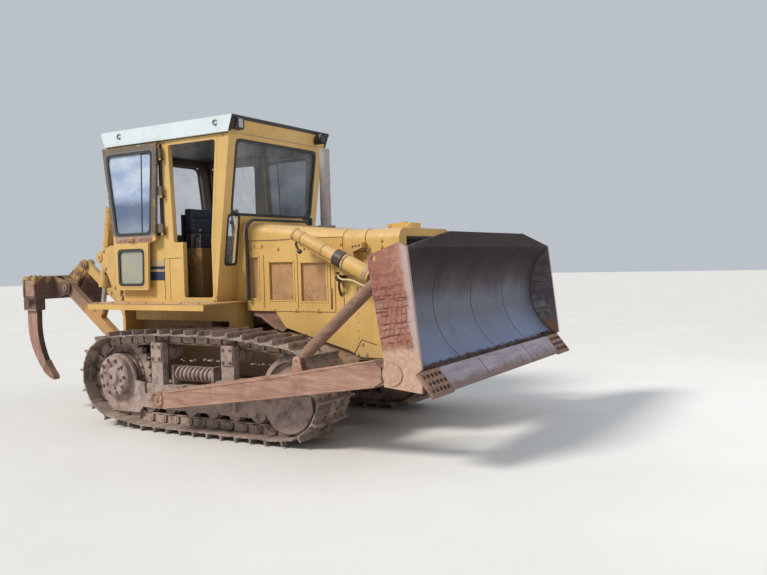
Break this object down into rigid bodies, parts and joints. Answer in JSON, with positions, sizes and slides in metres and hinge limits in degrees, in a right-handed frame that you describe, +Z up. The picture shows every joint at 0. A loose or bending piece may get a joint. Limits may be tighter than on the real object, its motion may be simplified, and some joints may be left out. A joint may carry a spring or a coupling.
{
  "type": "crawler dozer with ripper",
  "caption": "Tracked dozer with a straight curved blade on push arms, a glazed cab with swinging doors, and a rear parallel-link ripper.",
  "frame": {"origin": "on the ground, under the middle of the machine's length and width", "axes": "+X forward to the blade, +Y to the machine's left, +Z up"},
  "size_m": [5.7112, 3.1, 3.049],
  "materials": {
    "yellow_paint": "faded yellow machine paint, dusty, worn at its edges",
    "white_paint": "chalky white roof paint",
    "rusty_steel": "red-brown rust over worn yellow paint",
    "worn_steel": "bare steel polished by soil, streaked with rust",
    "track_steel": "cast and forged steel under dry beige mud",
    "dark_steel": "dark oily steel with dust",
    "rod_chrome": "chromed rod",
    "vent_sheet": "perforated sheet, dusty tan",
    "stack_steel": "heat-browned pipe",
    "black_trim": "black plastic and rubber",
    "glass": "clear cab glass, dusty",
    "seat_vinyl": "dark vinyl seat cover"
  },
  "bodies": {
    "root": {"main_frame": "yellow_paint", "rear_case": "yellow_paint", "final_drives": "track_steel", "cross_beams": "track_steel", "engine_block": "dark_steel", "radiator": "dark_steel", "hood": "yellow_paint", "side_panels": "yellow_paint", "vent_panels": "vent_sheet", "nose_guard": "yellow_paint", "nose_grille": "dark_steel", "exhaust_stack": "stack_steel", "lift_brackets": "yellow_paint", "platform": "yellow_paint", "cowl": "black_trim", "cab_front": "yellow_paint", "cab_side_left": "yellow_paint", "cab_side_right": "yellow_paint", "cab_rear": "yellow_paint", "cab_roof": "white_paint", "cab_glass": "glass", "roof_lamps": "black_trim", "seat_base": "dark_steel", "seat_cushions": "seat_vinyl", "dash": "black_trim", "console": "yellow_paint", "track_left": "track_steel", "track_right": "track_steel", "track_frame_left": "track_steel", "track_frame_right": "track_steel", "ripper_bracket": "yellow_paint", "sprockets": "track_steel", "idlers": "track_steel", "rollers": "track_steel", "recoil_springs": "track_steel"},
    "blade": {"moldboard": "worn_steel", "cutting_edge": "worn_steel", "push_arms": "rusty_steel", "blade_pins": "rusty_steel", "braces": "rusty_steel"},
    "lift_barrels": {"lift_barrels": "yellow_paint"},
    "lift_rods": {"lift_rods": "rod_chrome"},
    "ripper_lower_links": {"ripper_lower_links": "yellow_paint"},
    "ripper_upper_links": {"ripper_upper_links": "yellow_paint"},
    "ripper_beam": {"ripper_beam": "rusty_steel", "ripper_shank": "rusty_steel"},
    "ripper_barrels": {"ripper_barrels": "yellow_paint"},
    "ripper_rods": {"ripper_rods": "rod_chrome"},
    "door_left": {"door_left": "yellow_paint", "door_left_glass": "glass"},
    "door_right": {"door_right": "yellow_paint", "door_right_glass": "glass"}
  },
  "joints": [
    {"name": "blade_lift", "type": "hinge", "parent": "root", "child": "blade", "pos_m": [-0.15756, 0, 0.37], "axis": [0, -1, 0], "range_deg": [-18, 6]},
    {"name": "lift_barrel_turn", "type": "hinge", "parent": "root", "child": "lift_barrels", "pos_m": [1.46244, 0, 1.64], "axis": [0, -1, 0], "range_deg": [-27.07, 9.07]},
    {"name": "lift_rod_slide", "type": "slide", "parent": "lift_barrels", "child": "lift_rods", "axis": [0.8987, 0, -0.4385], "range_m": [-0.1983, 0.5919]},
    {"name": "ripper_lower", "type": "hinge", "parent": "root", "child": "ripper_lower_links", "pos_m": [-1.55756, 0, 0.8], "axis": [0, -1, 0], "range_deg": [0, 50]},
    {"name": "ripper_upper_turn", "type": "hinge", "parent": "root", "child": "ripper_upper_links", "pos_m": [-1.46756, 0, 1.06], "axis": [0, -1, 0], "range_deg": [0, 50.1]},
    {"name": "ripper_beam_turn", "type": "hinge", "parent": "ripper_lower_links", "child": "ripper_beam", "pos_m": [-2.35756, 0, 1.39], "axis": [0, -1, 0], "range_deg": [-50.1, 0]},
    {"name": "ripper_barrel_turn", "type": "hinge", "parent": "root", "child": "ripper_barrels", "pos_m": [-1.70756, 0, 1.72], "axis": [0, -1, 0], "range_deg": [-10.97, 0]},
    {"name": "ripper_rod_slide", "type": "slide", "parent": "ripper_barrels", "child": "ripper_rods", "axis": [-0.1713, 0, -0.9852], "range_m": [0, 0.3471]},
    {"name": "door_left_swing", "type": "hinge", "parent": "root", "child": "door_left", "pos_m": [-0.60756, 0.806, 2.3], "axis": [0, 0, 1], "range_deg": [0, 180]},
    {"name": "door_right_swing", "type": "hinge", "parent": "root", "child": "door_right", "pos_m": [-0.60756, -0.806, 2.3], "axis": [0, 0, 1], "range_deg": [0, 180]}
  ],
  "couplings": [
    {"joint": "lift_barrel_turn", "follows": "blade_lift", "ratio": 1.5},
    {"joint": "lift_rod_slide", "follows": "blade_lift", "m_per_rad": -1.879},
    {"joint": "ripper_upper_turn", "follows": "ripper_lower", "ratio": 1},
    {"joint": "ripper_beam_turn", "follows": "ripper_lower", "ratio": -1},
    {"joint": "ripper_barrel_turn", "follows": "ripper_lower", "ratio": -0.219},
    {"joint": "ripper_rod_slide", "follows": "ripper_lower", "m_per_rad": 0.397}
  ]
}
